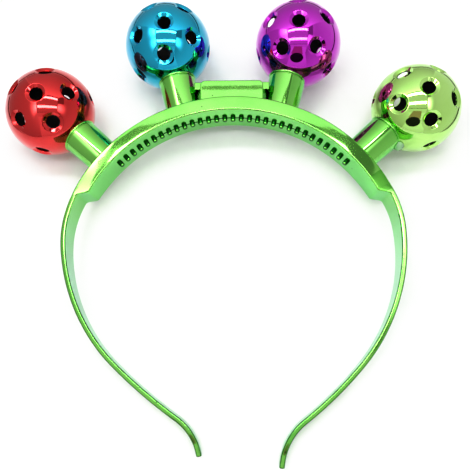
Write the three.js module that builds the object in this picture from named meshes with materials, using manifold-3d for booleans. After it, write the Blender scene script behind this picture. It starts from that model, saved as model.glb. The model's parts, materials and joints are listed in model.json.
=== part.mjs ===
// Head bopper: a plated plastic headband with four perforated balls on posts along its crown.
// Millimetres. The band is drawn in its own plane, x across the head and y from the tips to the
// balls, around the centre of the crown's arc. It is then laid down on its outer balls and its tips.

import * as THREE from 'three';
import { mergeVertices } from 'three/addons/utils/BufferGeometryUtils.js';
import Module from 'manifold-3d';

const wasm = await Module();
wasm.setup();

const clearance = 0.3;
const degreesPerStep = 4;

const crown = {
  outerRadius: 75.2,
  innerRadius: 69,
  endAngle: 64,
  stepAngle: 60.5,
  stepPoints: 6,
};

const arm = {
  thickness: 2.2,
  edge: 0.5,
  tipLength: 3,
  tipHalfDepth: 1.3,
};

// Bends of each arm from the crown to its tip, in order. A negative sweep turns outward.
const armBends = {
  left: [
    { radius: 43, sweep: 29 },
    { radius: 73, sweep: 43.5 },
    { radius: 209, sweep: 9 },
    { radius: 22, sweep: -44 },
  ],
  right: [
    { radius: 40, sweep: 21 },
    { radius: 75, sweep: 46.5 },
    { radius: 160, sweep: 11.5 },
    { radius: 24, sweep: -47.5 },
  ],
};

// The band is deepest at the crown and narrows all the way down its arms.
const bandDepth = [
  { y: 70, half: 9.5 },
  { y: 52, half: 9 },
  { y: 34, half: 7.6 },
  { y: 14, half: 6.1 },
  { y: -10, half: 4.1 },
  { y: -35, half: 2.8 },
  { y: -60, half: 2.4 },
];

const comb = {
  teeth: 31,
  pitch: 3.03,
  height: 1.8,
  rootRadius: 0.95,
  tipRadius: 0.6,
  root: 1,
  sides: 5,
};

const post = {
  rimRadius: 7.9,
  footRadius: 7.3,
  sides: 20,
  sunk: 3,
  spigotRadius: 4,
  spigotReach: 2.5,
};

const ball = {
  radius: 18.5,
  wall: 1.5,
  depthOffset: -0.6,
  outerDetail: 3,
  innerDetail: 1,
};

const hole = {
  boreRadius: 3.3,
  rimRadius: 4.25,
  bevelDepth: 0.9,
  sides: 8,
  ringTilt: 43.5,
  ringStart: -15,
  ringCount: 5,
  seamAngles: [0, 60, -60, 120, -120],
};

const box = {
  halfWidth: 13.2,
  top: 82.7,
  halfDepth: 7.5,
  corner: 1.2,
  edge: 0.5,
  earReach: 2.1,
  earHeight: 2,
  earDrop: 0.2,
};

// One row for each ball: the angle and distance of its middle from the crown's centre, the angle
// of its post, and how far its holes are turned about the depth axis and leaned toward its top.
const bopperRows = [
  { name: 'red', angle: -48.2, reach: 108.7, postAngle: -48.2, turn: 0, lean: 2, color: 0xc1121f },
  { name: 'blue', angle: -15.8, reach: 108, postAngle: -12.5, turn: 3, lean: 3, color: 0x1793c4 },
  { name: 'purple', angle: 15.8, reach: 108, postAngle: 12.5, turn: -3, lean: 3, color: 0xb31fc0 },
  { name: 'lime', angle: 48.2, reach: 108.7, postAngle: 48.2, turn: 5, lean: 3, color: 0x9fcf5a },
];

const bandColor = 0x4fc83f;

const radians = THREE.MathUtils.degToRad;
const outward = new THREE.Vector3(0, 1, 0);

function solidOf(geometry) {
  const bare = geometry.clone();
  bare.deleteAttribute('normal');
  bare.deleteAttribute('uv');
  const merged = mergeVertices(bare);
  const vertProperties = new Float32Array(merged.attributes.position.array);
  const triVerts = new Uint32Array(merged.index.array);
  return new wasm.Manifold(new wasm.Mesh({ numProp: 3, vertProperties, triVerts }));
}

function geometryOf(solid) {
  const { vertProperties, triVerts } = solid.getMesh();
  const geometry = new THREE.BufferGeometry();
  geometry.setAttribute('position', new THREE.BufferAttribute(vertProperties, 3));
  geometry.setIndex(new THREE.BufferAttribute(triVerts, 1));
  geometry.computeVertexNormals();
  return geometry;
}

function platedMesh(name, geometry, color) {
  const material = new THREE.MeshStandardMaterial({ color, roughness: 0.15, metalness: 0.9 });
  const mesh = new THREE.Mesh(geometry, material);
  mesh.name = name;
  return mesh;
}

function onCircle(radius, degrees) {
  const angle = radians(degrees);
  return new THREE.Vector2(radius * Math.sin(angle), radius * Math.cos(angle));
}

function arcPoints(radius, fromDegrees, toDegrees) {
  const steps = Math.ceil(Math.abs(toDegrees - fromDegrees) / degreesPerStep);
  const points = [];
  for (let i = 0; i <= steps; i++) {
    points.push(onCircle(radius, THREE.MathUtils.lerp(fromDegrees, toDegrees, i / steps)));
  }
  return points;
}

// The right arm's line from the crown to the tip, moved outward by an offset.
function armLine(bends, offset) {
  let middle = onCircle(crown.outerRadius - arm.thickness / 2, crown.endAngle);
  let heading = radians(-crown.endAngle);
  const points = [];
  for (const { radius, sweep } of bends) {
    const turn = Math.sign(sweep);
    const leftOf = (angle) => new THREE.Vector2(-Math.sin(angle), Math.cos(angle));
    const center = middle.clone().addScaledVector(leftOf(heading), -radius * turn);
    const steps = Math.max(2, Math.ceil(Math.abs(sweep) / degreesPerStep / 1.5));
    const start = heading;
    for (let i = 1; i <= steps; i++) {
      heading = start - radians((sweep * i) / steps);
      points.push(center.clone().addScaledVector(leftOf(heading), radius * turn + offset));
    }
    middle = center.clone().addScaledVector(leftOf(heading), radius * turn);
  }
  return points;
}

// One side of the outline, from the crown's outer end round the arm to the crown's inner face.
function armOutline(bends) {
  const outer = armLine(bends, arm.thickness / 2);
  const inner = armLine(bends, -arm.thickness / 2).reverse();
  const armInnerRadius = crown.outerRadius - arm.thickness;
  const halfway = (crown.endAngle + crown.stepAngle) / 2;
  const step = new THREE.CubicBezierCurve(
    onCircle(armInnerRadius, crown.endAngle),
    onCircle(armInnerRadius, halfway),
    onCircle(crown.innerRadius, halfway),
    onCircle(crown.innerRadius, crown.stepAngle),
  );
  return [...outer, ...inner, ...step.getPoints(crown.stepPoints).slice(0, -1)];
}

function mirrored(points) {
  return points.map((point) => new THREE.Vector2(-point.x, point.y)).reverse();
}

function halfDepthAt(x, y) {
  const bends = x < 0 ? armBends.left : armBends.right;
  const tip = armLine(bends, 0).at(-1);
  const fromTip = (y - tip.y) / arm.tipLength;
  const last = bandDepth.at(-1);
  if (fromTip < 1) {
    return THREE.MathUtils.lerp(arm.tipHalfDepth, last.half, Math.max(0, fromTip));
  }
  if (y >= bandDepth[0].y) {
    return bandDepth[0].half;
  }
  const next = bandDepth.findIndex((row) => row.y < y);
  if (next < 0) {
    return last.half;
  }
  const above = bandDepth[next - 1];
  const below = bandDepth[next];
  return THREE.MathUtils.mapLinear(y, above.y, below.y, above.half, below.half);
}

function bandGeometry() {
  const outline = [
    ...arcPoints(crown.outerRadius, -crown.endAngle, crown.endAngle),
    ...armOutline(armBends.right),
    ...arcPoints(crown.innerRadius, crown.stepAngle, -crown.stepAngle),
    ...mirrored(armOutline(armBends.left)),
  ];
  const deepest = bandDepth[0].half;
  const geometry = new THREE.ExtrudeGeometry(new THREE.Shape(outline), {
    depth: 2 * (deepest - arm.edge),
    bevelThickness: arm.edge,
    bevelSize: arm.edge,
    bevelOffset: -arm.edge,
    bevelSegments: 1,
  });
  geometry.translate(0, 0, arm.edge - deepest);
  const position = geometry.attributes.position;
  for (let i = 0; i < position.count; i++) {
    const z = position.getZ(i);
    const half = halfDepthAt(position.getX(i), position.getY(i));
    position.setZ(i, Math.sign(z) * (Math.abs(z) - deepest + half));
  }
  return geometry;
}

function toothGeometry(angle) {
  const length = comb.height + comb.root;
  const geometry = new THREE.CylinderGeometry(comb.rootRadius, comb.tipRadius, length, comb.sides);
  geometry.translate(0, crown.innerRadius - comb.height + length / 2, 0);
  geometry.rotateZ(-radians(angle));
  return geometry;
}

function headbandMesh() {
  let solid = solidOf(bandGeometry());
  for (let i = 0; i < comb.teeth; i++) {
    const angle = (i - (comb.teeth - 1) / 2) * comb.pitch;
    solid = solid.add(solidOf(toothGeometry(angle)));
  }
  return platedMesh('headband', geometryOf(solid), bandColor);
}

// What the crown takes out of a piece that sits on its outer face.
function crownSeat(center) {
  const depth = 4 * bandDepth[0].half;
  const radius = crown.outerRadius + clearance;
  const geometry = new THREE.CylinderGeometry(radius, radius, depth, 360 / degreesPerStep);
  geometry.rotateX(Math.PI / 2);
  geometry.translate(center.x, center.y, 0);
  return solidOf(geometry);
}

// A round post that ends in a cup under its ball and a spigot that enters the ball's neck.
// The origin is the ball's middle, and y runs outward along the post.
function postMesh({ name, angle, reach, postAngle }) {
  const crownCenter = onCircle(reach, angle - postAngle).negate();
  const foot = reach - crown.outerRadius + post.sunk;
  const rim = ball.radius - post.sunk;
  const barrel = new THREE.CylinderGeometry(
    post.rimRadius, post.footRadius, foot - rim, post.sides);
  barrel.translate(0, -(foot + rim) / 2, 0);
  const cup = new THREE.IcosahedronGeometry(ball.radius + clearance, ball.outerDetail);
  const spigotTop = ball.radius - ball.wall - post.spigotReach;
  const spigot = new THREE.CylinderGeometry(
    post.spigotRadius, post.spigotRadius, foot - spigotTop, post.sides / 2);
  spigot.translate(0, -(foot + spigotTop) / 2, 0);
  const solid = solidOf(barrel)
    .subtract(solidOf(cup))
    .add(solidOf(spigot))
    .subtract(crownSeat(crownCenter));
  return platedMesh(`post_${name}`, geometryOf(solid), bandColor);
}

// A round bore through the wall that opens into a bevelled rim at the surface.
function holeCutter(direction) {
  const rimTop = Math.sqrt(ball.radius ** 2 - hole.rimRadius ** 2);
  const slope = (hole.rimRadius - hole.boreRadius) / hole.bevelDepth;
  const above = ball.radius + 0.5;
  const profile = [
    new THREE.Vector2(0, ball.radius - 3 * ball.wall),
    new THREE.Vector2(hole.boreRadius, ball.radius - 3 * ball.wall),
    new THREE.Vector2(hole.boreRadius, rimTop - hole.bevelDepth),
    new THREE.Vector2(hole.rimRadius + slope * (above - rimTop), above),
    new THREE.Vector2(0, above),
  ];
  const geometry = new THREE.LatheGeometry(profile, hole.sides);
  geometry.applyQuaternion(new THREE.Quaternion().setFromUnitVectors(outward, direction));
  return solidOf(geometry);
}

// Hole directions with y along the post and z toward the front of the band. The two halves of
// a ball mirror each other across the seam, and the seam has a row of holes of its own.
function holeDirections({ turn, lean }) {
  const tilts = [{ tilt: 0, around: 0 }];
  for (let i = 0; i < hole.ringCount; i++) {
    tilts.push({ tilt: hole.ringTilt, around: hole.ringStart + (360 * i) / hole.ringCount });
  }
  const front = tilts.map(({ tilt, around }) => new THREE.Vector3(
    Math.sin(radians(tilt)) * Math.sin(radians(around)),
    Math.sin(radians(tilt)) * Math.cos(radians(around)),
    Math.cos(radians(tilt)),
  ));
  const back = front.map(({ x, y, z }) => new THREE.Vector3(x, y, -z));
  const seam = hole.seamAngles.map((around) => new THREE.Vector3(
    Math.sin(radians(around)), Math.cos(radians(around)), 0));
  const skew = new THREE.Euler(-radians(lean), 0, radians(turn));
  return [...front, ...back, ...seam].map((direction) => direction.applyEuler(skew));
}

function ballMesh(row) {
  const inside = new THREE.IcosahedronGeometry(ball.radius - ball.wall, ball.innerDetail);
  let solid = solidOf(new THREE.IcosahedronGeometry(ball.radius, ball.outerDetail))
    .subtract(solidOf(inside));
  for (const direction of holeDirections(row)) {
    solid = solid.subtract(holeCutter(direction));
  }
  const neckRadius = post.spigotRadius + clearance;
  const neck = new THREE.CylinderGeometry(neckRadius, neckRadius, 4 * ball.wall, post.sides / 2);
  neck.translate(0, -ball.radius, 0);
  solid = solid.subtract(solidOf(neck));
  return platedMesh(`ball_${row.name}`, geometryOf(solid), row.color);
}

function bopper(row) {
  const group = new THREE.Group();
  group.add(postMesh(row), ballMesh(row));
  const { x, y } = onCircle(row.reach, row.angle);
  group.position.set(x, y, ball.depthOffset);
  group.rotation.z = -radians(row.postAngle);
  return group;
}

function boxMesh() {
  const { halfWidth, top, corner, earReach, earHeight, earDrop } = box;
  const base = crown.outerRadius - post.sunk;
  const earTop = top - corner - earDrop;
  const shape = new THREE.Shape();
  shape.moveTo(-halfWidth, base);
  shape.lineTo(halfWidth, base);
  shape.lineTo(halfWidth, earTop - earHeight);
  shape.lineTo(halfWidth + earReach, earTop - earHeight);
  shape.lineTo(halfWidth + earReach, earTop);
  shape.lineTo(halfWidth, earTop);
  shape.absarc(halfWidth - corner, top - corner, corner, 0, Math.PI / 2);
  shape.absarc(corner - halfWidth, top - corner, corner, Math.PI / 2, Math.PI);
  shape.lineTo(-halfWidth, earTop);
  shape.lineTo(-halfWidth - earReach, earTop);
  shape.lineTo(-halfWidth - earReach, earTop - earHeight);
  shape.lineTo(-halfWidth, earTop - earHeight);
  const geometry = new THREE.ExtrudeGeometry(shape, {
    depth: 2 * (box.halfDepth - box.edge),
    bevelThickness: box.edge,
    bevelSize: box.edge,
    bevelOffset: -box.edge,
    bevelSegments: 1,
    curveSegments: 4,
  });
  geometry.translate(0, 0, box.edge - box.halfDepth);
  const solid = solidOf(geometry).subtract(crownSeat(new THREE.Vector2()));
  return platedMesh('crown_box', geometryOf(solid), bandColor);
}

// The tilt at which the outer balls and the longer arm's tip touch one floor.
function restTilt() {
  const outer = bopperRows[0];
  const tip = armLine(armBends.right, 0).at(-1);
  const along = outer.reach * Math.cos(radians(outer.angle)) - tip.y - arm.tipLength;
  const across = ball.depthOffset + bandDepth.at(-1).half;
  return Math.asin(ball.radius / Math.hypot(along, across)) - Math.atan2(across, along);
}

const band = new THREE.Group();
band.add(headbandMesh(), boxMesh(), ...bopperRows.map(bopper));
band.rotation.x = restTilt();

const headBopper = new THREE.Group();
headBopper.add(band);
const bounds = new THREE.Box3().setFromObject(headBopper, true);
const middle = bounds.getCenter(new THREE.Vector3());
band.position.set(-middle.x, -middle.y, -bounds.min.z);

export default headBopper;
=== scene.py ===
import json
import math

import bpy
from mathutils import Matrix, Vector


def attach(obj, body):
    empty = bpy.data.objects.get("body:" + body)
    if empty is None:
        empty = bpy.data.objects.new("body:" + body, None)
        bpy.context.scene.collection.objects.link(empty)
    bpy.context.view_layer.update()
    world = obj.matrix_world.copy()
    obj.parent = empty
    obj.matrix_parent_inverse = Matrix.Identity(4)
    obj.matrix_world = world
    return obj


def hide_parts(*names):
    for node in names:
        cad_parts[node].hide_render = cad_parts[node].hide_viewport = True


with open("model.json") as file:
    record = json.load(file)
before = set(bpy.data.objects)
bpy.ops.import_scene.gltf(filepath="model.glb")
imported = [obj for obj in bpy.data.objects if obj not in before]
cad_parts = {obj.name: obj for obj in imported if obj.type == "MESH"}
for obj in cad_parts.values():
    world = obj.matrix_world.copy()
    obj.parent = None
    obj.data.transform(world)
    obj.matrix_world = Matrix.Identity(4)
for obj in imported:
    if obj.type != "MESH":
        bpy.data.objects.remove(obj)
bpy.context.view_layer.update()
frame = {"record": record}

mm = 0.001
print("frame loaded")

# The band's own frame has its origin at the centre of the crown's arc, with x across,
# y toward the balls and z out of its front. It is found from the flat top of the box.
placeSettings = {"boxTop": 82.7 * mm}
boxTop = frame["record"]["mounts"][0]
bandUp = Vector(boxTop["axis"])
crownMiddle = Vector(boxTop["pos_m"]) - bandUp * placeSettings["boxTop"]
bandPlace = Matrix.Translation(crownMiddle) @ Matrix.Rotation(math.atan2(bandUp.z, bandUp.y), 4, "X")


def pick(piece):
    bpy.ops.object.select_all(action="DESELECT")
    piece.select_set(True)
    bpy.context.view_layer.objects.active = piece


def openEdit(piece, test):
    pick(piece)
    for item in list(piece.data.polygons) + list(piece.data.edges):
        item.select = False
    for vert in piece.data.vertices:
        vert.select = test(vert.co)
    bpy.ops.object.mode_set(mode="EDIT")
    bpy.ops.mesh.select_mode(type="VERT")


def closeEdit():
    bpy.ops.object.mode_set(mode="OBJECT")


def applyPlace(piece):
    pick(piece)
    bpy.ops.object.transform_apply(location=True, rotation=True, scale=True)


def cutWith(piece, cutter):
    pick(piece)
    cut = piece.modifiers.new("cut", "BOOLEAN")
    cut.operation = "DIFFERENCE"
    cut.solver = "EXACT"
    cut.object = cutter
    bpy.ops.object.modifier_apply(modifier="cut")
    bpy.data.objects.remove(cutter)


def joinAll(pieces):
    pick(pieces[0])
    for piece in pieces:
        piece.select_set(True)
    bpy.ops.object.join()
    return pieces[0]


def copyOf(piece):
    copy = piece.copy()
    copy.data = piece.data.copy()
    bpy.context.collection.objects.link(copy)
    return copy


def finishPiece(piece, name, node, smoothAngle):
    piece.name = name
    piece.data.name = name
    piece.matrix_world = bandPlace @ piece.matrix_world
    applyPlace(piece)
    openEdit(piece, lambda co: True)
    bpy.ops.mesh.remove_doubles(threshold=0.000005)
    bpy.ops.mesh.normals_make_consistent(inside=False)
    closeEdit()
    bpy.ops.object.shade_smooth_by_angle(angle=math.radians(smoothAngle))
    # keeps flat faces flat beside their rounded edges
    flat = piece.modifiers.new("flatFaces", "WEIGHTED_NORMAL")
    flat.keep_sharp = True
    bpy.ops.object.modifier_apply(modifier="flatFaces")
    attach(piece, "root")
    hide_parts(node)


def onCircle(radius, degrees):
    return Vector((radius * math.sin(math.radians(degrees)), radius * math.cos(math.radians(degrees)), 0))


# A stack of rings about the z axis, each row a height and a radius.
def ringStack(rows, sides):
    bpy.ops.object.select_all(action="DESELECT")
    height, radius = rows[0]
    bpy.ops.mesh.primitive_circle_add(vertices=sides, radius=radius, fill_type="NGON", location=(0, 0, height))
    stack = bpy.context.object
    applyPlace(stack)
    openEdit(stack, lambda co: True)
    for nextHeight, nextRadius in rows[1:]:
        bpy.ops.mesh.extrude_region_move(TRANSFORM_OT_translate={"value": (0, 0, nextHeight - height)})
        bpy.ops.transform.resize(value=(nextRadius / radius, nextRadius / radius, 1))
        height, radius = nextHeight, nextRadius
    closeEdit()
    return stack


# Shared surface effects

def addNode(tree, kind, **values):
    node = tree.nodes.new(kind)
    for key, value in values.items():
        setattr(node, key, value)
    return node


effectSettings = {
    "waveScale": 70.0,      # broad unevenness of the moulding
    "patchScale": 40.0,     # thicker and thinner lacquer
    "speckScale": 230.0,    # pin holes in the plating
    "speckSize": 0.07,
    "speckShare": 0.86,
}


def platingGroup():
    group = bpy.data.node_groups.new("platingMarks", "ShaderNodeTree")
    group.interface.new_socket("Wave", in_out="OUTPUT", socket_type="NodeSocketFloat")
    group.interface.new_socket("Patch", in_out="OUTPUT", socket_type="NodeSocketFloat")
    group.interface.new_socket("Speck", in_out="OUTPUT", socket_type="NodeSocketFloat")
    place = addNode(group, "ShaderNodeTexCoord")
    wave = addNode(group, "ShaderNodeTexNoise")
    wave.inputs["Scale"].default_value = effectSettings["waveScale"]
    wave.inputs["Detail"].default_value = 2.0
    patch = addNode(group, "ShaderNodeTexNoise")
    patch.inputs["Scale"].default_value = effectSettings["patchScale"]
    patch.inputs["Detail"].default_value = 4.0
    cells = addNode(group, "ShaderNodeTexVoronoi")
    cells.inputs["Scale"].default_value = effectSettings["speckScale"]
    near = addNode(group, "ShaderNodeMath", operation="LESS_THAN")
    near.inputs[1].default_value = effectSettings["speckSize"]
    chosen = addNode(group, "ShaderNodeSeparateColor")
    some = addNode(group, "ShaderNodeMath", operation="GREATER_THAN")
    some.inputs[1].default_value = effectSettings["speckShare"]
    speck = addNode(group, "ShaderNodeMath", operation="MULTIPLY")
    out = addNode(group, "NodeGroupOutput")
    for texture in (wave, patch, cells):
        group.links.new(place.outputs["Object"], texture.inputs["Vector"])
    group.links.new(cells.outputs["Distance"], near.inputs[0])
    group.links.new(cells.outputs["Color"], chosen.inputs[0])
    group.links.new(chosen.outputs[0], some.inputs[0])
    group.links.new(near.outputs[0], speck.inputs[0])
    group.links.new(some.outputs[0], speck.inputs[1])
    group.links.new(wave.outputs[0], out.inputs["Wave"])
    group.links.new(patch.outputs[0], out.inputs["Patch"])
    group.links.new(speck.outputs[0], out.inputs["Speck"])
    return group


platingMarks = platingGroup()


def rampBetween(tree, source, low, high):
    ramp = addNode(tree, "ShaderNodeValToRGB")
    ramp.color_ramp.elements[0].position = 0.35
    ramp.color_ramp.elements[1].position = 0.65
    ramp.color_ramp.elements[0].color = (*low, 1)
    ramp.color_ramp.elements[1].color = (*high, 1)
    tree.links.new(source, ramp.inputs[0])
    return ramp.outputs[0]


# Painted shade and reflection: turns a colour into a paler one along y, between the two places given in the
# settings, darker near the crown and paler toward the tips, for the floor seen in the arms' inner faces.
def paintedSheenAlong(tree, colour, look):
    place = addNode(tree, "ShaderNodeTexCoord")
    parts = addNode(tree, "ShaderNodeSeparateXYZ")
    tree.links.new(place.outputs["Object"], parts.inputs[0])
    share = addNode(tree, "ShaderNodeMapRange", interpolation_type="SMOOTHSTEP")
    share.inputs["From Min"].default_value = look["fade"][0]
    share.inputs["From Max"].default_value = look["fade"][1]
    tree.links.new(parts.outputs["Y"], share.inputs["Value"])
    blend = addNode(tree, "ShaderNodeMix", data_type="RGBA")
    blend.inputs[7].default_value = (*look["paintedSheen"], 1)
    tree.links.new(share.outputs[0], blend.inputs[0])
    tree.links.new(colour, blend.inputs[6])
    return blend.outputs[2]


def platedMaterial(name, look):
    material = bpy.data.materials.new(name)
    material.use_nodes = True
    tree = material.node_tree
    shader = tree.nodes["Principled BSDF"]
    marks = addNode(tree, "ShaderNodeGroup", node_tree=platingMarks)
    lacquer = rampBetween(tree, marks.outputs["Patch"], look["deep"], look["bright"])
    if "fade" in look:
        lacquer = paintedSheenAlong(tree, lacquer, look)
    speckled = addNode(tree, "ShaderNodeMix", data_type="RGBA")
    speckled.inputs[7].default_value = (*look["speck"], 1)
    tree.links.new(marks.outputs["Speck"], speckled.inputs[0])
    tree.links.new(lacquer, speckled.inputs[6])
    tree.links.new(speckled.outputs[2], shader.inputs["Base Color"])
    rough = addNode(tree, "ShaderNodeMapRange")
    rough.inputs["To Min"].default_value = look["rough"][0]
    rough.inputs["To Max"].default_value = look["rough"][1]
    tree.links.new(marks.outputs["Patch"], rough.inputs["Value"])
    tree.links.new(rough.outputs[0], shader.inputs["Roughness"])
    bump = addNode(tree, "ShaderNodeBump")
    bump.inputs["Strength"].default_value = 1.0
    bump.inputs["Distance"].default_value = look["wave"]
    tree.links.new(marks.outputs["Wave"], bump.inputs["Height"])
    tree.links.new(bump.outputs[0], shader.inputs["Normal"])
    shader.inputs["Metallic"].default_value = 1.0
    shader.inputs["Coat Weight"].default_value = look["coat"]
    shader.inputs["Specular Tint"].default_value = (*look.get("edge", (1, 1, 1)), 1)
    shader.inputs["Coat Roughness"].default_value = 0.02
    shader.inputs["Coat IOR"].default_value = 1.5
    return material


def plainMaterial(name, look):
    material = bpy.data.materials.new(name)
    material.use_nodes = True
    tree = material.node_tree
    shader = tree.nodes["Principled BSDF"]
    marks = addNode(tree, "ShaderNodeGroup", node_tree=platingMarks)
    colour = rampBetween(tree, marks.outputs["Patch"], look["deep"], look["bright"])
    tree.links.new(colour, shader.inputs["Base Color"])
    shader.inputs["Roughness"].default_value = look["rough"]
    return material


finishSettings = {
    "green": {"deep": (0.17, 0.54, 0.085), "bright": (0.24, 0.63, 0.12), "speck": (0.01, 0.05, 0.01),
              "rough": (0.05, 0.1), "wave": 0.032 * mm, "coat": 0.8, "edge": (0.4, 0.95, 0.6)},
    # armInside: the arms' inner faces, with painted shade near the crown and a painted paler reflection toward the
    # tips
    "armInside": {"deep": (0.17, 0.54, 0.085), "bright": (0.24, 0.63, 0.12), "speck": (0.01, 0.05, 0.01),
                  "rough": (0.05, 0.1), "wave": 0.032 * mm, "coat": 0.8, "edge": (0.5, 0.9, 0.65),
                  "fade": (12 * mm, -30 * mm), "paintedSheen": (0.5, 0.57, 0.5)},
    # painted shade: a dark green given to the rounded edges of the arms for the dark reflections seen in them
    "armEdgeShade": {"deep": (0.015, 0.12, 0.015), "bright": (0.07, 0.3, 0.05), "speck": (0.01, 0.05, 0.01),
                "rough": (0.1, 0.16), "wave": 0.02 * mm, "coat": 0.2},
    # crownEnd: painted shade, a darker green for the dark reflections at one end of the crown's front face
    "crownEnd": {"deep": (0.03, 0.2, 0.02), "bright": (0.15, 0.5, 0.07), "speck": (0.3, 0.7, 0.2),
                 "rough": (0.06, 0.12), "wave": 0.06 * mm, "coat": 0.4, "edge": (0.4, 0.95, 0.6)},
    # comb: painted shade, a dark green for the nubs and the moulding line, whose lit rounded ends alone keep the
    # plain green
    "comb": {"deep": (0.004, 0.06, 0.006), "bright": (0.008, 0.1, 0.01), "speck": (0.01, 0.05, 0.01),
             "rough": (0.1, 0.16), "wave": 0.01 * mm, "coat": 0.1},
    "red": {"deep": (0.61, 0.038, 0.038), "bright": (0.71, 0.055, 0.055), "speck": (0.05, 0.0, 0.0),
            "rough": (0.04, 0.08), "wave": 0.012 * mm, "coat": 0.4},
    "blue": {"deep": (0.012, 0.39, 0.59), "bright": (0.025, 0.47, 0.68), "speck": (0.0, 0.02, 0.05),
             "rough": (0.04, 0.08), "wave": 0.012 * mm, "coat": 0.4},
    "purple": {"deep": (0.5, 0.03, 0.53), "bright": (0.6, 0.05, 0.62), "speck": (0.03, 0.0, 0.03),
               "rough": (0.04, 0.08), "wave": 0.012 * mm, "coat": 0.4},
    "lime": {"deep": (0.43, 0.75, 0.19), "bright": (0.53, 0.85, 0.26), "speck": (0.03, 0.05, 0.01),
             "rough": (0.04, 0.08), "wave": 0.012 * mm, "coat": 0.4},
    "inside": {"deep": (0.004, 0.004, 0.004), "bright": (0.01, 0.01, 0.01), "rough": 0.6},
}
greenPlated = platedMaterial("greenPlated", finishSettings["green"])
armInside = platedMaterial("armInside", finishSettings["armInside"])
armEdgeShade = platedMaterial("armEdgeShade", finishSettings["armEdgeShade"])
crownEnd = platedMaterial("crownEnd", finishSettings["crownEnd"])
combShade = platedMaterial("combShade", finishSettings["comb"])
ballInside = plainMaterial("ballInside", finishSettings["inside"])
print("finishes made")


# Headband

bandSettings = {
    "outer": 75.2 * mm, "inner": 69 * mm, "crownEnd": 64, "stepStart": 60.5,
    "thickness": 2.2 * mm, "edge": 0.65 * mm, "edgeSteps": 5,
    "stepLength": 0.7 * mm,     # spacing of the sections along the band
    "depth": ((70, 9.5), (52, 9), (34, 7.6), (14, 6.1), (-10, 4.1), (-35, 2.8), (-60, 2.4)),
    "left": ((43, 29), (73, 43.5), (209, 9), (22, -44)),    # radius and sweep of each bend
    "right": ((40, 21), (75, 46.5), (160, 11.5), (24, -47.5)),
    "crownHalf": 9.45, "crownFall": 1.92,       # the crown keeps its depth and falls off toward its ends
    "faceCuts": 3, "faceDome": 0.008 * mm,
    # outward slope of the crown's front face on each side: angle round the crown and slope, in degrees
    "leanLeft": ((64, 0.3), (56, 0.3), (52, 1.2), (48, 2.3), (44, 2.5), (38, 1.7), (32, 0.7), (0, 0.8)),
    "leanRight": ((64, 4.2), (56, 4.2), (45, 2.8), (34, 1.25), (20, 1.2), (0, 0.8)),
    # the same down the arms, by place along y in mm
    "armLeft": ((50, 0), (38, 0.5), (30, 5), (20, 7), (-5, 6), (-30, 2), (-60, 0)),
    "armRight": ((50, 0), (-60, 0)),
    "shadeFrom": 55.5, "shadeTo": 62.5,       # painted shade at one end of the crown's front face, for the dark reflections there, in degrees
    "lineFrom": 24 * mm,        # below this the rounded edges of the arms are painted with dark lines, painted shade for the dark reflections in them
    # the front dips and flares again toward each tip: distance from the tip and change of depth, in mm
    "tipFront": ((9, 0), (6.5, -0.1), (4.5, -0.22), (0, 0.15), (-4, 0.5)),
    "tipLength": 9 * mm, "tipHalf": 1.3 * mm,       # the back rounds off over this length to this depth
}


# A smooth curve through rows that run from the highest place to the lowest.
def curveAt(rows, place):
    if place >= rows[0][0]:
        return rows[0][1]
    if place <= rows[-1][0]:
        return rows[-1][1]
    slopes = [0.0] + [(a[1] - b[1]) / (a[0] - b[0]) for a, b in zip(rows, rows[2:])] + [0.0]
    for i in range(len(rows) - 1):
        (p0, h0), (p1, h1) = rows[i], rows[i + 1]
        if p1 <= place <= p0:
            span = p1 - p0
            t = (place - p0) / span
            return ((2 * t ** 3 - 3 * t ** 2 + 1) * h0 + (t ** 3 - 2 * t ** 2 + t) * span * slopes[i]
                    + (3 * t ** 2 - 2 * t ** 3) * h1 + (t ** 3 - t ** 2) * span * slopes[i + 1])


# Spins the open end on along the bends of one arm and returns the middle of its tip.
def spinArm(band, side, bends):
    s = bandSettings
    middle = onCircle(s["outer"] - s["thickness"] / 2, s["crownEnd"])
    heading = math.radians(-s["crownEnd"])
    endLine = s["crownEnd"] - 0.01
    openEdit(band, lambda co: math.degrees(math.atan2(side * co.x, co.y)) > endLine)
    for radius, sweep in bends:
        turn = 1 if sweep > 0 else -1
        leftward = Vector((-math.sin(heading), math.cos(heading), 0))
        center = middle - leftward * radius * mm * turn
        steps = math.ceil(radius * mm * math.radians(abs(sweep)) / s["stepLength"])
        bpy.ops.mesh.spin(steps=steps, angle=math.radians(sweep) * side, axis=(0, 0, 1),
                          center=(side * center.x, center.y, 0))
        heading -= math.radians(sweep)
        leftward = Vector((-math.sin(heading), math.cos(heading), 0))
        middle = center + leftward * radius * mm * turn
    along = Vector((side * math.cos(heading), math.sin(heading), 0))
    for reach, narrowing in ((0.2, 0.95), (0.13, 0.9), (0.06, 0.75)):
        bpy.ops.mesh.extrude_region_move(TRANSFORM_OT_translate={"value": along * reach * mm})
        bpy.ops.transform.resize(value=(narrowing, narrowing, 1))
    bpy.ops.mesh.edge_face_add()
    closeEdit()
    return Vector((side * middle.x, middle.y, 0))


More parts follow.
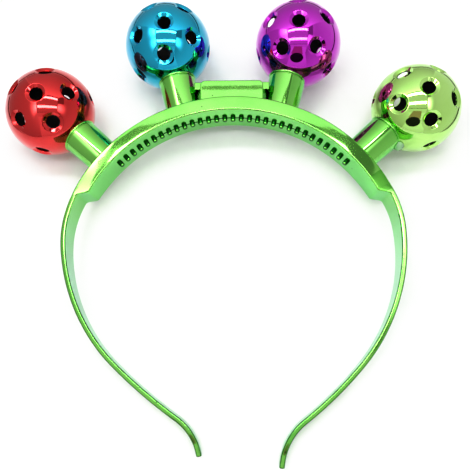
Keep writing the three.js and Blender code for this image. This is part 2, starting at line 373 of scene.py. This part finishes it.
def buildBand():
    s = bandSettings
    deepest = s["depth"][0][1] * mm
    bpy.ops.object.select_all(action="DESELECT")
    start = onCircle((s["outer"] + s["inner"]) / 2, -s["crownEnd"])
    bpy.ops.mesh.primitive_plane_add(size=1, location=start, rotation=(0, math.pi / 2, math.radians(s["crownEnd"])))
    band = bpy.context.object
    band.scale = (2 * deepest, s["outer"] - s["inner"], 1)
    applyPlace(band)
    openEdit(band, lambda co: True)
    bpy.ops.mesh.bevel(offset=s["edge"], offset_type="OFFSET", segments=s["edgeSteps"], affect="VERTICES")
    bpy.ops.mesh.delete(type="ONLY_FACE")
    closeEdit()
    openEdit(band, lambda co: co.z > deepest - 0.01 * mm)
    bpy.ops.mesh.subdivide(number_cuts=s["faceCuts"])
    closeEdit()
    across = band.vertex_groups.new(name="across")      # 0 on the inner side and 1 on the outer, kept by the spins
    for vert in band.data.vertices:
        share = (math.hypot(vert.co.x, vert.co.y) - s["inner"]) / (s["outer"] - s["inner"])
        across.add([vert.index], share, "REPLACE")
    openEdit(band, lambda co: True)
    stepSpan = s["crownEnd"] - s["stepStart"]
    for steps, sweep in ((12, stepSpan), (242, 2 * s["stepStart"]), (12, stepSpan)):
        bpy.ops.mesh.spin(steps=steps, angle=math.radians(sweep), axis=(0, 0, 1), center=(0, 0, 0))
    closeEdit()
    # the inner side steps out to the thin arms at both ends of the crown
    rise = s["outer"] - s["inner"] - s["thickness"]
    flat = s["outer"] - s["inner"] - 2 * s["edge"]
    for vert in band.data.vertices:
        radius = math.hypot(vert.co.x, vert.co.y)
        part = (math.degrees(math.atan2(abs(vert.co.x), vert.co.y)) - s["stepStart"]) / stepSpan
        share = min(1, max(0, (s["outer"] - s["edge"] - radius) / flat))
        if part > 0 and share > 0:
            part = min(part, 1)
            grown = (radius + rise * share * part * part * (3 - 2 * part)) / radius
            vert.co.x *= grown
            vert.co.y *= grown
    tips = [spinArm(band, -1, s["left"]), spinArm(band, 1, s["right"])]
    # the band grows shallower down the arms and changes a little at each tip
    for vert in band.data.vertices:
        around = math.degrees(math.atan2(abs(vert.co.x), vert.co.y)) / s["crownEnd"]
        half = curveAt(s["depth"], vert.co.y / mm) * mm
        if around < 1:
            half = (s["crownHalf"] - s["crownFall"] * around ** 6) * mm
            if vert.co.z > 0:
                lean = curveAt(s["leanLeft"] if vert.co.x < 0 else s["leanRight"], around * s["crownEnd"])
                fade = min(1, (1 - around) / 0.06)
                out = math.hypot(vert.co.x, vert.co.y) - s["inner"]
                bow = (2 * out / (s["outer"] - s["inner"]) - 1) ** 2
                half -= (out * math.tan(math.radians(lean)) + bow * s["faceDome"]) * fade
        elif vert.co.z > 0:
            lean = curveAt(s["armLeft"] if vert.co.x < 0 else s["armRight"], vert.co.y / mm)
            half -= vert.groups[0].weight * s["thickness"] * math.tan(math.radians(lean))
        tip = tips[0] if vert.co.x < 0 else tips[1]
        away = (Vector((vert.co.x, vert.co.y, 0)) - tip).length
        if vert.co.z > 0 and vert.co.y < -50 * mm:
            half += curveAt(s["tipFront"], away / mm) * mm
        elif away < s["tipLength"]:
            half = s["tipHalf"] + (half - s["tipHalf"]) * math.sqrt(1 - (1 - away / s["tipLength"]) ** 2)
        vert.co.z = math.copysign(abs(vert.co.z) - deepest + half, vert.co.z)
    for material in (greenPlated, armInside, armEdgeShade, crownEnd):
        band.data.materials.append(material)
    for face in band.data.polygons:
        side = sum(band.data.vertices[i].groups[0].weight for i in face.vertices) / len(face.vertices)
        around = math.degrees(math.atan2(face.center.x, face.center.y))
        # painted shade on the crown's front face near its right end
        if s["shadeFrom"] < around < s["shadeTo"] and face.normal.z > 0.95:
            face.material_index = 3
        elif abs(around) > s["crownEnd"]:
            # painted shade and reflection on the inner faces of the arms
            if side < 0.01 and abs(face.normal.z) < 0.1:
                face.material_index = 1
            # painted shade: the rounded edges down the arms take the dark edge colour
            elif face.center.y < s["lineFrom"] and 0.1 < face.normal.z < 0.93:
                face.material_index = 2
    band.vertex_groups.clear()
    finishPiece(band, "bandStrip", "headband", 35)


buildBand()
print("band built")


# Comb of nubs along the crown's inner face, and the fine moulding line that runs between them

combSettings = {
    "teeth": 31, "pitch": 3.03, "height": 1.75 * mm, "root": 1.2 * mm, "tip": 1.0 * mm, "sunk": 0.6 * mm,
    "round": 0.6 * mm, "sides": 24, "lineHeight": 0.16 * mm, "lineWidth": 0.3 * mm, "lineEnd": 30,
}


def buildComb():
    s = combSettings
    inner = bandSettings["inner"]
    length = s["height"] + s["sunk"]
    bpy.ops.object.select_all(action="DESELECT")
    bpy.ops.mesh.primitive_cone_add(vertices=s["sides"], radius1=s["tip"], radius2=s["root"], depth=length,
                                    location=(0, inner - s["height"] + length / 2, 0), rotation=(-math.pi / 2, 0, 0))
    tooth = bpy.context.object
    applyPlace(tooth)
    openEdit(tooth, lambda co: co.y < inner - s["height"] + 0.01 * mm)
    bpy.ops.mesh.bevel(offset=s["round"], segments=5, affect="EDGES")
    closeEdit()
    teeth = [tooth]
    first = -(s["teeth"] - 1) / 2 * s["pitch"]
    for i in range(1, s["teeth"]):
        copy = copyOf(tooth)
        copy.rotation_euler.z = -math.radians(first + i * s["pitch"])
        teeth.append(copy)
    tooth.rotation_euler.z = -math.radians(first)
    for piece in teeth:
        applyPlace(piece)
    bpy.ops.object.select_all(action="DESELECT")
    bpy.ops.mesh.primitive_plane_add(size=1, location=onCircle(inner, -s["lineEnd"]),
                                     rotation=(0, math.pi / 2, math.radians(s["lineEnd"])))
    line = bpy.context.object
    line.scale = (s["lineWidth"], 2 * s["lineHeight"], 1)
    applyPlace(line)
    openEdit(line, lambda co: True)
    bpy.ops.mesh.spin(steps=120, angle=math.radians(2 * s["lineEnd"]), axis=(0, 0, 1), center=(0, 0, 0))
    closeEdit()
    comb = joinAll([line] + teeth)
    comb.data.materials.append(combShade)
    comb.data.materials.append(greenPlated)
    # painted shade: the nubs and the moulding line are dark, and the rounded ends of the nubs that face the front
    # keep the plain green as their lit tips
    for face in comb.data.polygons:
        far = inner - math.hypot(face.center.x, face.center.y)
        if far > s["height"] * 0.3 and face.normal.z > 0.6:
            face.material_index = 1
    finishPiece(comb, "bandComb", "headband", 35)


buildComb()
print("comb built")


# Small box on the crown between the two middle posts

boxSettings = {
    "halfWidth": 13.6 * mm, "shift": -0.4 * mm, "base": 73 * mm, "top": 83.3 * mm, "halfDepth": 7.5 * mm,
    "corner": 2 * mm, "edge": 0.5 * mm, "frontCuts": 14,
    "slope": 0.8, "hollow": 2.6, "hollowAt": 0.33, "hollowSlant": 0.05,     # of the front face, slopes in degrees
    "earReach": 2.6 * mm, "earHeight": 3.4 * mm, "earTop": 82.6 * mm, "earEdge": 0.25 * mm, "earBack": 0.5 * mm,
}


def bevelWhere(piece, test, offset, segments):
    pick(piece)
    bpy.ops.object.mode_set(mode="EDIT")
    bpy.ops.mesh.select_mode(type="EDGE")
    bpy.ops.mesh.select_all(action="DESELECT")
    closeEdit()
    for edge in piece.data.edges:
        ends = [piece.data.vertices[i].co for i in edge.vertices]
        edge.select = test(*ends)
    bpy.ops.object.mode_set(mode="EDIT")
    bpy.ops.mesh.bevel(offset=offset, segments=segments, affect="EDGES")
    bpy.ops.mesh.select_mode(type="VERT")
    closeEdit()


def buildBox():
    s = boxSettings
    bpy.ops.object.select_all(action="DESELECT")
    bpy.ops.mesh.primitive_cube_add(size=1, location=(0, (s["base"] + s["top"]) / 2, 0))
    box = bpy.context.object
    box.scale = (2 * s["halfWidth"], s["top"] - s["base"], 2 * s["halfDepth"])
    applyPlace(box)
    bevelWhere(box, lambda a, b: min(a.y, b.y) > s["top"] - 0.01 * mm and abs(a.x - b.x) < 0.01 * mm,
               s["corner"], 6)
    bevelWhere(box, lambda a, b: abs(a.z) > s["halfDepth"] - 0.01 * mm and abs(a.z - b.z) < 0.01 * mm,
               s["edge"], 4)
    ears = []
    for side in (-1, 1):
        bpy.ops.object.select_all(action="DESELECT")
        root = s["halfWidth"] - 1 * mm
        bpy.ops.mesh.primitive_cube_add(size=1, location=(side * (root + s["halfWidth"] + s["earReach"]) / 2,
                                                          s["earTop"] - s["earHeight"] / 2, 0))
        ear = bpy.context.object
        ear.scale = (s["halfWidth"] + s["earReach"] - root, s["earHeight"], 2 * (s["halfDepth"] - s["earBack"]))
        applyPlace(ear)
        bevelWhere(ear, lambda a, b: True, s["earEdge"], 3)
        ears.append(ear)
    box = joinAll([box] + ears)
    # the front face rolls back a little, most along a shallow hollow across its middle
    openEdit(box, lambda co: True)
    high = s["top"] - s["base"]
    for i in range(s["frontCuts"]):
        bpy.ops.mesh.select_all(action="SELECT")
        bpy.ops.mesh.bisect(plane_co=(0, s["base"] + high * (i + 1) / (s["frontCuts"] + 1), 0), plane_no=(0, 1, 0))
    closeEdit()
    for vert in box.data.vertices:
        if vert.co.z > s["halfDepth"] - s["earBack"] + 0.01 * mm:
            down = max(0, s["top"] - vert.co.y) / high
            middle = s["hollowAt"] + s["hollowSlant"] * vert.co.x / s["halfWidth"]
            turn = min(down / middle, 2) * math.pi
            drop = s["slope"] * down + s["hollow"] * middle * (turn - math.sin(turn)) / (2 * math.pi)
            vert.co.z -= math.radians(drop) * high
        vert.co.x += s["shift"]
    box.data.materials.append(greenPlated)
    finishPiece(box, "crownBox", "crown_box", 35)


buildBox()
print("box built")


# Posts and balls. Each pair is modelled with the ball's middle at the origin and the post along y,
# and some posts stand a little beside the middle of their ball. Angles in degrees, lengths in mm.

ballRows = (
    {"name": "red", "angle": -48.2, "reach": 108.7, "postAngle": -48.2, "shift": (-0.13, -0.05),
     "lean": 2.0, "turn": 3.4, "sway": 1.4, "postShift": 0.5, "backTurn": 0},
    {"name": "blue", "angle": -15.8, "reach": 108, "postAngle": -12.5, "shift": (-0.1, -0.5),
     "lean": 4.2, "turn": 7.2, "sway": 3.3, "postShift": 0.7, "backTurn": 0},
    {"name": "purple", "angle": 15.8, "reach": 108, "postAngle": 12.5, "shift": (0.13, -0.28),
     "lean": 3.8, "turn": -2.4, "sway": -5.5, "postShift": -1.5, "backTurn": 0},
    {"name": "lime", "angle": 48.2, "reach": 108.7, "postAngle": 48.2, "shift": (-0.5, 0.2),
     "lean": 4.2, "turn": 3.6, "sway": -3.6, "postShift": -1.0, "backTurn": -20},
)
ballSettings = {"radius": 19.0 * mm, "wall": 1.7 * mm, "depthOffset": -0.1 * mm, "fineness": 6}
postSettings = {
    "sides": 64, "footSunk": 1 * mm,
    # distance from the ball's middle and radius, from the shank over the groove and lip into the cup
    "rings": ((18.6, 8.1), (18.35, 8.02), (18.2, 7.8), (17.95, 7.8), (17.8, 8.05), (17.68, 8.22),
              (17.5, 8.3), (17.2, 8.3), (17.02, 8.22), (16.95, 8.05), (17.1, 7.6), (18.0, 5.3)),
    "footRadius": 7.55 * mm,
}
holeSettings = {
    "bore": 2.8 * mm, "rim": 4.3 * mm, "lip": 0.3 * mm, "slope": 32, "corner": 0.2 * mm, "sides": 48,
    "ringTilt": 43.5, "ringStart": -15, "ringCount": 5, "seamAngles": (0, 60, -60, 120, -120),
    "neck": 4.3 * mm,
}


def pairPlace(row):
    middle = onCircle(row["reach"] * mm, row["angle"]) + Vector((*row["shift"], 0)) * mm
    middle.z = ballSettings["depthOffset"]
    return Matrix.Translation(middle) @ Matrix.Rotation(-math.radians(row["postAngle"]), 4, "Z")


def buildPost(row):
    s = postSettings
    foot = row["reach"] * mm - bandSettings["outer"] + s["footSunk"]
    rows = [(-foot, s["footRadius"])] + [(-far * mm, radius * mm) for far, radius in s["rings"]]
    post = ringStack(rows, s["sides"])
    aside = Matrix.Translation((row["postShift"] * mm, 0, 0))
    post.matrix_world = pairPlace(row) @ aside @ Matrix.Rotation(-math.pi / 2, 4, "X")
    post.data.materials.append(greenPlated)
    finishPiece(post, "post" + row["name"].capitalize(), "post_" + row["name"], 35)


def holeRows():
    s = holeSettings
    radius = ballSettings["radius"]
    rimAngle = math.asin(s["rim"] / radius)
    across = (radius - s["lip"]) * math.sin(rimAngle)
    up = (radius - s["lip"]) * math.cos(rimAngle)
    slope = math.radians(s["slope"])
    last = -rimAngle + math.radians(8)
    lip = []
    for i in range(6):
        lean = slope + (last - slope) * i / 5
        lip.append((up + s["lip"] * math.cos(lean), across - s["lip"] * math.sin(lean)))
    boreTop = lip[0][0] - (lip[0][1] - s["bore"]) * math.tan(slope)
    soft = s["corner"]
    corner = [
        (boreTop - soft, s["bore"]),
        (boreTop + soft * (math.sin(slope) - 1) / 4, s["bore"] + soft * math.cos(slope) / 4),
        (boreTop + soft * math.sin(slope), s["bore"] + soft * math.cos(slope)),
    ]
    over = (lip[-1][0] + 0.4 * mm * math.tan(last), lip[-1][1] + 0.4 * mm)
    return [(radius - 4.5 * mm, s["bore"])] + corner + lip + [over, (radius + 1 * mm, over[1])]


def holeDirections(row):
    s = holeSettings
    tilts = [(0, 0)] + [(s["ringTilt"], s["ringStart"] + 360 / s["ringCount"] * i) for i in range(s["ringCount"])]
    front = []
    for tilt, around in tilts:
        spread = onCircle(math.sin(math.radians(tilt)), around)
        front.append(Vector((spread.x, spread.y, math.cos(math.radians(tilt)))))
    turned = Matrix.Rotation(math.radians(row["backTurn"]), 4, "Z")
    back = [turned @ Vector((way.x, way.y, -way.z)) for way in front]
    seam = [onCircle(1, around) for around in s["seamAngles"]]
    skew = (Matrix.Rotation(math.radians(row["sway"]), 4, "Y") @ Matrix.Rotation(-math.radians(row["lean"]), 4, "X")
            @ Matrix.Rotation(math.radians(row["turn"]), 4, "Z"))
    return [skew @ way for way in front + back + seam]


def buildBall(row, outside):
    s = ballSettings
    bpy.ops.object.select_all(action="DESELECT")
    bpy.ops.mesh.primitive_ico_sphere_add(subdivisions=s["fineness"], radius=s["radius"])
    ball = bpy.context.object
    bpy.ops.mesh.primitive_ico_sphere_add(subdivisions=5, radius=s["radius"] - s["wall"])
    cutWith(ball, bpy.context.object)
    drill = ringStack(holeRows(), holeSettings["sides"])
    drills = []
    for way in holeDirections(row):
        copy = copyOf(drill)
        copy.matrix_world = Vector((0, 0, 1)).rotation_difference(way).to_matrix().to_4x4()
        applyPlace(copy)
        drills.append(copy)
    bpy.data.objects.remove(drill)
    bpy.ops.object.select_all(action="DESELECT")
    bpy.ops.mesh.primitive_cylinder_add(vertices=32, radius=holeSettings["neck"], depth=4 * s["wall"],
                                        location=(0, -s["radius"], 0), rotation=(math.pi / 2, 0, 0))
    neck = bpy.context.object
    applyPlace(neck)
    cutWith(ball, joinAll(drills + [neck]))
    ball.data.materials.clear()
    ball.data.materials.append(outside)
    ball.data.materials.append(ballInside)
    for face in ball.data.polygons:
        deep = face.center.length < s["radius"] - s["wall"] + 0.05 * mm
        face.material_index = 1 if deep else 0
    ball.matrix_world = pairPlace(row)
    finishPiece(ball, "ball" + row["name"].capitalize(), "ball_" + row["name"], 30)


for row in ballRows:
    buildPost(row)
    buildBall(row, platedMaterial(row["name"] + "Plated", finishSettings[row["name"]]))
print("posts and balls built")


# Small bead of clear glue at the foot of the lime ball

beadSettings = {
    "at": (72.1, 55.8, 0.5), "size": (2.5, 2.7, 2.8), "turn": -48.2,
    "deep": (0.5, 0.78, 0.5), "bright": (0.66, 0.86, 0.62), "rough": 0.12,
}


def buildBead():
    s = beadSettings
    bpy.ops.object.select_all(action="DESELECT")
    bpy.ops.mesh.primitive_ico_sphere_add(subdivisions=4, radius=1 * mm, location=Vector(s["at"]) * mm,
                                          rotation=(0, 0, math.radians(s["turn"])))
    bead = bpy.context.object
    bead.scale = s["size"]
    applyPlace(bead)
    clearGlue = plainMaterial("clearGlue", s)
    clearGlue.node_tree.nodes["Principled BSDF"].inputs["Transmission Weight"].default_value = 0.6
    bead.data.materials.append(clearGlue)
    finishPiece(bead, "glueBead", "post_lime", 40)


buildBead()
print("bead built")


# Floor, lights and camera

floorSettings = {"size": 1.2, "deep": (0.84, 0.84, 0.84), "bright": (0.9, 0.9, 0.9), "rough": 0.6}


def buildFloor():
    bpy.ops.object.select_all(action="DESELECT")
    bpy.ops.mesh.primitive_plane_add(size=floorSettings["size"], location=(0, 0, -0.00015))
    floor = bpy.context.object
    floor.name = "floor"
    floor.data.materials.append(plainMaterial("paleFloor", floorSettings))


# Panels of a white light box, the room beyond its open front and two dim shapes there, in the band's
# frame: middle, width and height in mm, turn, and the brightness at the floor and at the top.
panelRows = (
    {"name": "ceiling", "at": (-12, 55, 331), "size": (318, 236), "turn": (0, 0, 0), "low": 0.75, "high": 0.75},
    {"name": "ceilingBack", "at": (-12, 185, 331), "size": (326, 23), "turn": (0, 0, 0), "low": 0.42, "high": 0.42},
    {"name": "lid", "at": (-12, 66, 336), "size": (344, 276), "turn": (0, 0, 0), "low": 0.03, "high": 0.03},
    {"name": "nearStrip", "at": (-12, 20, 329), "size": (300, 34), "turn": (0, 0, 0), "low": 11, "high": 11},
    {"name": "farStrip", "at": (-12, 158, 329), "size": (300, 32), "turn": (0, 0, 0), "low": 13.5, "high": 13.5},
    {"name": "backWall", "at": (-12, 196, 162), "size": (322, 334), "turn": (90, 0, 0), "low": 0.5, "high": 1.7},
    {"name": "leftWall", "at": (-176, -40, 162), "size": (334, 470), "turn": (0, 90, 0), "low": 0.5, "high": 0.9,
     "gain": (5, 7)},
    {"name": "rightWall", "at": (152, -40, 162), "size": (334, 470), "turn": (0, 90, 0), "low": 0.8, "high": 0.5,
     "gain": (4, 0.6)},
    {"name": "rightTop", "at": (151, 142, 265), "size": (130, 105), "turn": (0, 90, 0), "low": 0.32, "high": 0.32},
    {"name": "room", "at": (0, -600, 400), "size": (2000, 1200), "turn": (90, 0, 0), "low": 0.8, "high": 1},
    {"name": "roomTop", "at": (-20, -360, 1000), "size": (1600, 560), "turn": (0, 0, 0), "low": 0.85, "high": 0.85},
    {"name": "leftFoot", "at": (-174, -40, -15), "size": (9, 470), "turn": (0, 90, 0), "low": 0.1, "high": 0.1},
    {"name": "rightFoot", "at": (150, -40, -15), "size": (9, 470), "turn": (0, 90, 0), "low": 0.1, "high": 0.1},
    {"name": "backFoot", "at": (-12, 194, -15), "size": (318, 9), "turn": (90, 0, 0), "low": 0.1, "high": 0.1},
    {"name": "frontLow", "at": (-12, -150, 150), "size": (175, 150), "turn": (90, 0, 0), "low": 0.02, "high": 0.02,
     "round": True},
    {"name": "frontHigh", "at": (-16, -152, 300), "size": (170, 200), "turn": (90, 0, 0), "low": 0.5, "high": 0.5,
     "tint": (1, 0.6, 0.6)},
)
glowSettings = {"strips": (20 * mm, 158 * mm), "spread": 48 * mm, "from": 130 * mm, "to": 310 * mm}


# A brightness that grows with height, with a glow on the side walls level with each strip.
def glowMaterial(row):
    material = bpy.data.materials.new(row["name"] + "Glow")
    material.use_nodes = True
    tree = material.node_tree
    tree.nodes.remove(tree.nodes["Principled BSDF"])
    glow = addNode(tree, "ShaderNodeEmission")
    place = addNode(tree, "ShaderNodeTexCoord")
    parts = addNode(tree, "ShaderNodeSeparateXYZ")
    tree.links.new(place.outputs["Object"], parts.inputs[0])
    level = addNode(tree, "ShaderNodeMapRange")
    level.inputs["From Max"].default_value = 300 * mm
    level.inputs["To Min"].default_value = row["low"]
    level.inputs["To Max"].default_value = row["high"]
    tree.links.new(parts.outputs["Z"], level.inputs["Value"])
    total = level.outputs[0]
    glow.inputs["Color"].default_value = (*row.get("tint", (1, 1, 1)), 1)
    if "gain" in row:
        g = glowSettings
        height = addNode(tree, "ShaderNodeMapRange", interpolation_type="SMOOTHSTEP")
        height.inputs["From Min"].default_value = g["from"]
        height.inputs["From Max"].default_value = g["to"]
        tree.links.new(parts.outputs["Z"], height.inputs["Value"])
        for strip, gain in zip(g["strips"], row["gain"]):
            away = addNode(tree, "ShaderNodeMath", operation="SUBTRACT")
            away.inputs[1].default_value = strip
            tree.links.new(parts.outputs["Y"], away.inputs[0])
            apart = addNode(tree, "ShaderNodeMath", operation="ABSOLUTE")
            tree.links.new(away.outputs[0], apart.inputs[0])
            near = addNode(tree, "ShaderNodeMapRange", interpolation_type="SMOOTHSTEP")
            near.inputs["From Max"].default_value = 2 * g["spread"]
            near.inputs["To Min"].default_value = gain
            near.inputs["To Max"].default_value = 0.0
            tree.links.new(apart.outputs[0], near.inputs["Value"])
            lit = addNode(tree, "ShaderNodeMath", operation="MULTIPLY_ADD")
            tree.links.new(near.outputs[0], lit.inputs[0])
            tree.links.new(height.outputs[0], lit.inputs[1])
            tree.links.new(total, lit.inputs[2])
            total = lit.outputs[0]
    tree.links.new(total, glow.inputs["Strength"])
    tree.links.new(glow.outputs[0], tree.nodes["Material Output"].inputs["Surface"])
    return material


def buildPanel(row):
    bpy.ops.object.select_all(action="DESELECT")
    turn = [math.radians(angle) for angle in row["turn"]]
    if "round" in row:
        bpy.ops.mesh.primitive_circle_add(vertices=48, radius=0.5, fill_type="NGON", location=Vector(row["at"]) * mm,
                                          rotation=turn)
    else:
        bpy.ops.mesh.primitive_plane_add(size=1, location=Vector(row["at"]) * mm, rotation=turn)
    panel = bpy.context.object
    panel.name = row["name"]
    panel.scale = (row["size"][0] * mm, row["size"][1] * mm, 1)
    applyPlace(panel)
    panel.matrix_world = bandPlace
    panel.visible_camera = False
    if row["name"].startswith("front"):        # seen in the mirror finish only
        panel.visible_diffuse = False
        panel.visible_shadow = False
    panel.data.materials.append(glowMaterial(row))


buildFloor()
for row in panelRows:
    buildPanel(row)

world = bpy.data.worlds.new("paleRoom")
world.use_nodes = True
world.node_tree.nodes["Background"].inputs["Color"].default_value = (0.85, 0.85, 0.85, 1)
bpy.context.scene.world = world
view = bpy.context.scene.view_settings
view.view_transform = "Standard"
view.use_curve_mapping = True      # a slightly hard print
toneSettings = {"points": ((0.06, 0.035), (0.25, 0.22), (0.6, 0.6), (0.9, 0.97))}
curve = view.curve_mapping.curves[3]
for x, y in toneSettings["points"]:
    curve.points.new(x, y)
curve.points[-1].location = (1, 1)
view.curve_mapping.update()

cameraSettings = {
    "place": (4.29, -22.88, 222.19), "pitch": -10, "yaw": -0.9, "roll": 0.29,
    "lens": 40.6, "sensor": 36,
}


def buildCamera():
    s = cameraSettings
    data = bpy.data.cameras.new("photoCamera")
    data.lens = s["lens"]
    data.sensor_width = s["sensor"]
    data.clip_start = 0.01
    camera = bpy.data.objects.new("photoCamera", data)
    bpy.context.collection.objects.link(camera)
    turn = (Matrix.Rotation(math.radians(s["roll"]), 4, "Z") @ Matrix.Rotation(math.radians(s["yaw"]), 4, "Y")
            @ Matrix.Rotation(math.radians(s["pitch"]), 4, "X"))
    camera.matrix_world = bandPlace @ Matrix.Translation(Vector(s["place"]) * mm) @ turn.transposed()
    bpy.context.scene.camera = camera


buildCamera()
print("stage, lights and camera set")
